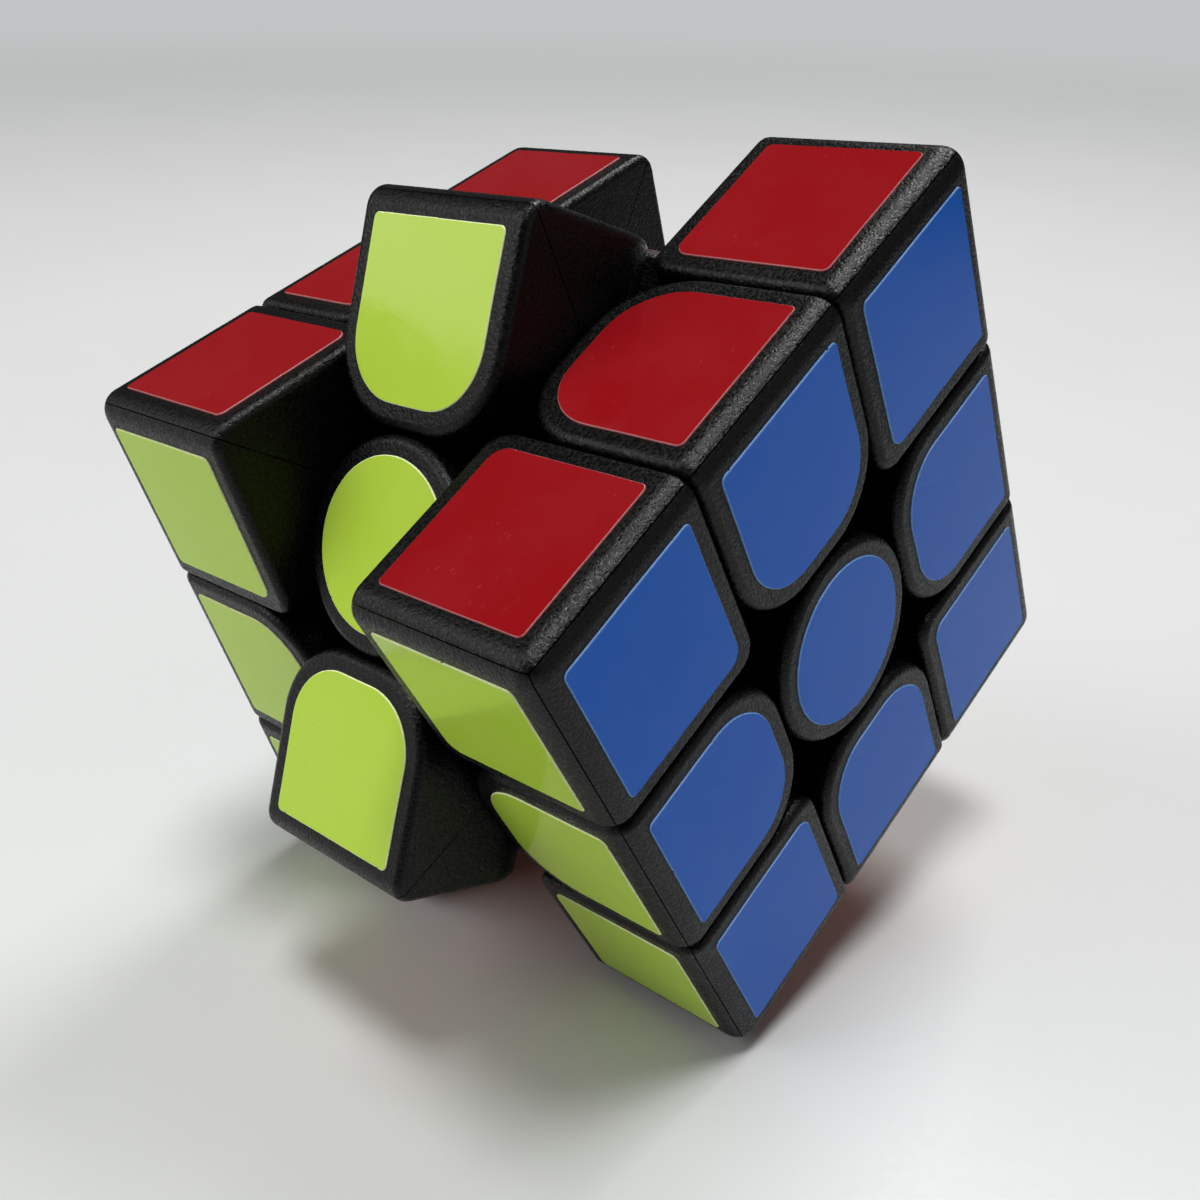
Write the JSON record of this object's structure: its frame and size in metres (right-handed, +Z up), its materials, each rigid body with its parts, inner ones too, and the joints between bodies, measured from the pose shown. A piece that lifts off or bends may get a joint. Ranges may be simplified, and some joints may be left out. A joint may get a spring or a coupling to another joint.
{
  "type": "twisty puzzle cube",
  "caption": "Black twisty puzzle cube with glossy coloured stickers and round centres, lying part-turned on three of its corners.",
  "frame": {"origin": "centre of the core, where the six screw axes meet; the mass is balanced about it", "axes": "+Z up as the cube lies on a level table; +X along the level direction below the slice axis, towards the blue face, whose outward normal leans 4.8 degrees up from +X; +Y away from the lime face"},
  "size_m": [0.0616, 0.0742, 0.0752],
  "materials": {
    "black_plastic": "spark-eroded moulded plastic, fine grain",
    "core_plastic": "natural nylon",
    "hub_plastic": "smooth moulded plastic",
    "steel": "zinc-plated",
    "spring_steel": "bright drawn wire",
    "blue_vinyl": "glossy self-adhesive vinyl",
    "green_vinyl": "glossy self-adhesive vinyl",
    "white_vinyl": "glossy self-adhesive vinyl",
    "lime_vinyl": "glossy self-adhesive vinyl",
    "red_vinyl": "glossy self-adhesive vinyl",
    "orange_vinyl": "glossy self-adhesive vinyl"
  },
  "bodies": {
    "middle_layer": {"core": "core_plastic", "screws": "steel", "washers": "steel", "springs": "spring_steel", "edge_lime_orange": "black_plastic", "edge_lime_red": "black_plastic", "edge_white_orange": "black_plastic", "edge_white_red": "black_plastic", "middle_orange_stickers": "orange_vinyl", "middle_lime_stickers": "lime_vinyl", "middle_red_stickers": "red_vinyl", "middle_white_stickers": "white_vinyl"},
    "right_layer": {"centre_hub_blue": "hub_plastic", "centre_cap_blue": "black_plastic", "edge_blue_lime": "black_plastic", "edge_blue_orange": "black_plastic", "edge_blue_red": "black_plastic", "edge_blue_white": "black_plastic", "corner_blue_lime_orange": "black_plastic", "corner_blue_lime_red": "black_plastic", "corner_blue_white_orange": "black_plastic", "corner_blue_white_red": "black_plastic", "right_blue_stickers": "blue_vinyl", "right_lime_stickers": "lime_vinyl", "right_orange_stickers": "orange_vinyl", "right_red_stickers": "red_vinyl", "right_white_stickers": "white_vinyl"},
    "left_layer": {"centre_hub_green": "hub_plastic", "centre_cap_green": "black_plastic", "edge_green_lime": "black_plastic", "edge_green_orange": "black_plastic", "edge_green_red": "black_plastic", "edge_green_white": "black_plastic", "corner_green_lime_orange": "black_plastic", "corner_green_lime_red": "black_plastic", "corner_green_white_orange": "black_plastic", "corner_green_white_red": "black_plastic", "left_green_stickers": "green_vinyl", "left_lime_stickers": "lime_vinyl", "left_orange_stickers": "orange_vinyl", "left_red_stickers": "red_vinyl", "left_white_stickers": "white_vinyl"},
    "centre_red": {"centre_hub_red": "hub_plastic", "centre_cap_red": "black_plastic", "centre_red_stickers": "red_vinyl"},
    "centre_lime": {"centre_hub_lime": "hub_plastic", "centre_cap_lime": "black_plastic", "centre_lime_stickers": "lime_vinyl"},
    "centre_white": {"centre_hub_white": "hub_plastic", "centre_cap_white": "black_plastic", "centre_white_stickers": "white_vinyl"},
    "centre_orange": {"centre_hub_orange": "hub_plastic", "centre_cap_orange": "black_plastic", "centre_orange_stickers": "orange_vinyl"}
  },
  "joints": [
    {"name": "right_layer_turn", "type": "hinge", "parent": "middle_layer", "child": "right_layer", "pos_m": [0, 0, 0], "axis": [0.9965, 0, 0.084], "continuous": true},
    {"name": "left_layer_turn", "type": "hinge", "parent": "middle_layer", "child": "left_layer", "pos_m": [0, 0, 0], "axis": [-0.9965, 0, -0.084], "continuous": true},
    {"name": "centre_red_turn", "type": "hinge", "parent": "middle_layer", "child": "centre_red", "pos_m": [0, 0, 0], "axis": [-0.0786, 0.3528, 0.9324], "continuous": true},
    {"name": "centre_lime_turn", "type": "hinge", "parent": "middle_layer", "child": "centre_lime", "pos_m": [0, 0, 0], "axis": [-0.0296, -0.9357, 0.3516], "continuous": true},
    {"name": "centre_white_turn", "type": "hinge", "parent": "middle_layer", "child": "centre_white", "pos_m": [0, 0, 0], "axis": [0.0296, 0.9357, -0.3516], "continuous": true},
    {"name": "centre_orange_turn", "type": "hinge", "parent": "middle_layer", "child": "centre_orange", "pos_m": [0, 0, 0], "axis": [0.0786, -0.3528, -0.9324], "continuous": true}
  ]
}
